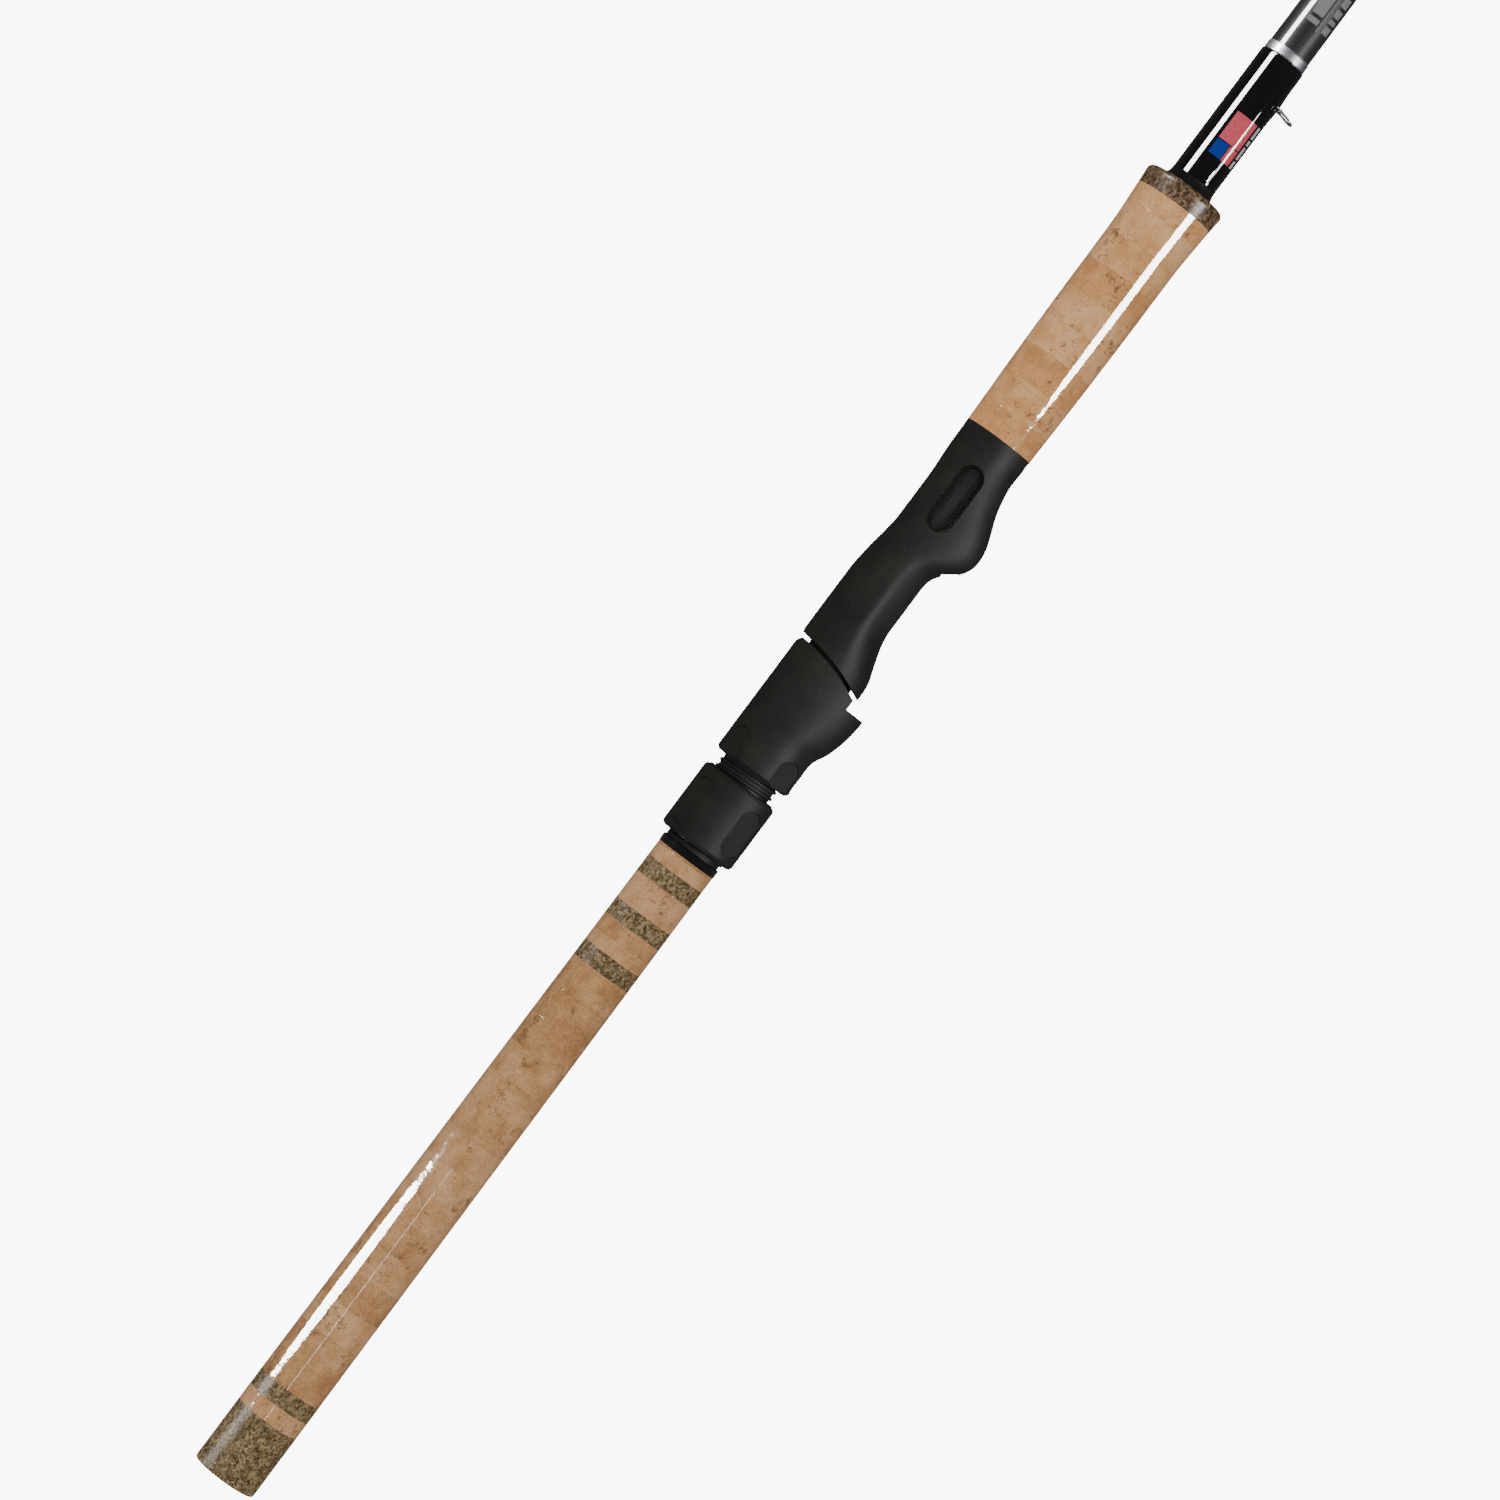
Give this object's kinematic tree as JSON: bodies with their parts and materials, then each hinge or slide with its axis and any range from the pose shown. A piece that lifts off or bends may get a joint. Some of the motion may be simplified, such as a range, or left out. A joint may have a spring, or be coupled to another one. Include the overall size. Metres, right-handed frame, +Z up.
{
  "type": "spinning rod",
  "caption": "Long two-piece spinning fishing rod with cork grips, a skeleton reel seat with a screw-locked hood, a hook keeper and line guides below.",
  "frame": {"origin": "middle of the butt cap's flat end face, on the rod's axis", "axes": "+X along the blank to the tip, +Z up, away from the reel foot and the line guides, which are on the -Z side; +Y to the left seen from behind the butt"},
  "size_m": [2.286, 0.033, 0.0779],
  "materials": {
    "cork": "clear-coated pale natural cork",
    "burl_cork": "clear-coated dark burl cork, speckled",
    "carbon_blank": "clear-coated charcoal carbon fibre",
    "gloss_black": "gloss black moulded trim",
    "arbor_foam": "rigid foam arbor under the seat",
    "seat_black": "soft satin black moulded seat",
    "washer_plastic": "black acetal washer",
    "hood_pad": "soft grey-black pad",
    "wrap_black": "black thread under clear epoxy",
    "silver_thread": "silver metallic thread under clear epoxy",
    "label_print": "printed label under clear epoxy",
    "bright_steel": "polished stainless wire",
    "ceramic": "dark polished ceramic"
  },
  "bodies": {
    "butt_section": {"butt_cap": "burl_cork", "butt_cork_ring": "cork", "butt_burl_ring": "burl_cork", "rear_grip_cork": "cork", "rear_burl_rings": "burl_cork", "rear_cork_spacers": "cork", "foregrip_cork": "cork", "foregrip_burl_ring": "burl_cork", "butt_blank": "carbon_blank", "rear_trim_ring": "gloss_black", "seat_arbors": "arbor_foam", "seat_body": "seat_black", "winding_check": "gloss_black", "handle_wrap": "wrap_black", "silver_wrap": "silver_thread", "keeper_foot": "bright_steel", "label": "label_print", "guide_1_frame": "bright_steel", "guide_1_ring": "ceramic", "guide_1_wraps": "wrap_black"},
    "hood": {"seat_hood": "seat_black", "hood_liner": "hood_pad"},
    "nut_travel": {"nut_washer": "washer_plastic"},
    "nut": {"lock_nut": "seat_black"},
    "hook_keeper": {"keeper_loop": "bright_steel"},
    "tip_section": {"tip_blank": "carbon_blank", "ferrule_wrap": "wrap_black", "tip_wrap": "wrap_black", "tip_top_frame": "bright_steel", "tip_top_ring": "ceramic", "guide_2_frame": "bright_steel", "guide_2_ring": "ceramic", "guide_2_wraps": "wrap_black", "guide_3_frame": "bright_steel", "guide_3_ring": "ceramic", "guide_3_wraps": "wrap_black", "guide_4_frame": "bright_steel", "guide_4_ring": "ceramic", "guide_4_wraps": "wrap_black", "guide_5_frame": "bright_steel", "guide_5_ring": "ceramic", "guide_5_wraps": "wrap_black", "guide_6_frame": "bright_steel", "guide_6_ring": "ceramic", "guide_6_wraps": "wrap_black", "guide_7_frame": "bright_steel", "guide_7_ring": "ceramic", "guide_7_wraps": "wrap_black"}
  },
  "joints": [
    {"name": "hood_slide", "type": "slide", "parent": "butt_section", "child": "hood", "axis": [-1, 0, 0], "range_m": [-0.0013, 0.0032]},
    {"name": "nut_advance", "type": "slide", "parent": "butt_section", "child": "nut_travel", "axis": [1, 0, 0], "range_m": [-0.00185, 0.00195]},
    {"name": "nut_spin", "type": "hinge", "parent": "nut_travel", "child": "nut", "pos_m": [0.3012, 0, 0], "axis": [1, 0, 0], "range_deg": [-235, 248]},
    {"name": "keeper_fold", "type": "hinge", "parent": "butt_section", "child": "hook_keeper", "pos_m": [0.6297, 0, -0.01018], "axis": [0, 1, 0], "range_deg": [-100, 74]},
    {"name": "ferrule_slide", "type": "slide", "parent": "butt_section", "child": "tip_section", "axis": [1, 0, 0], "range_m": [0, 0.1]}
  ],
  "couplings": [
    {"joint": "nut_advance", "follows": "nut_spin", "m_per_rad": 0.00043768}
  ]
}
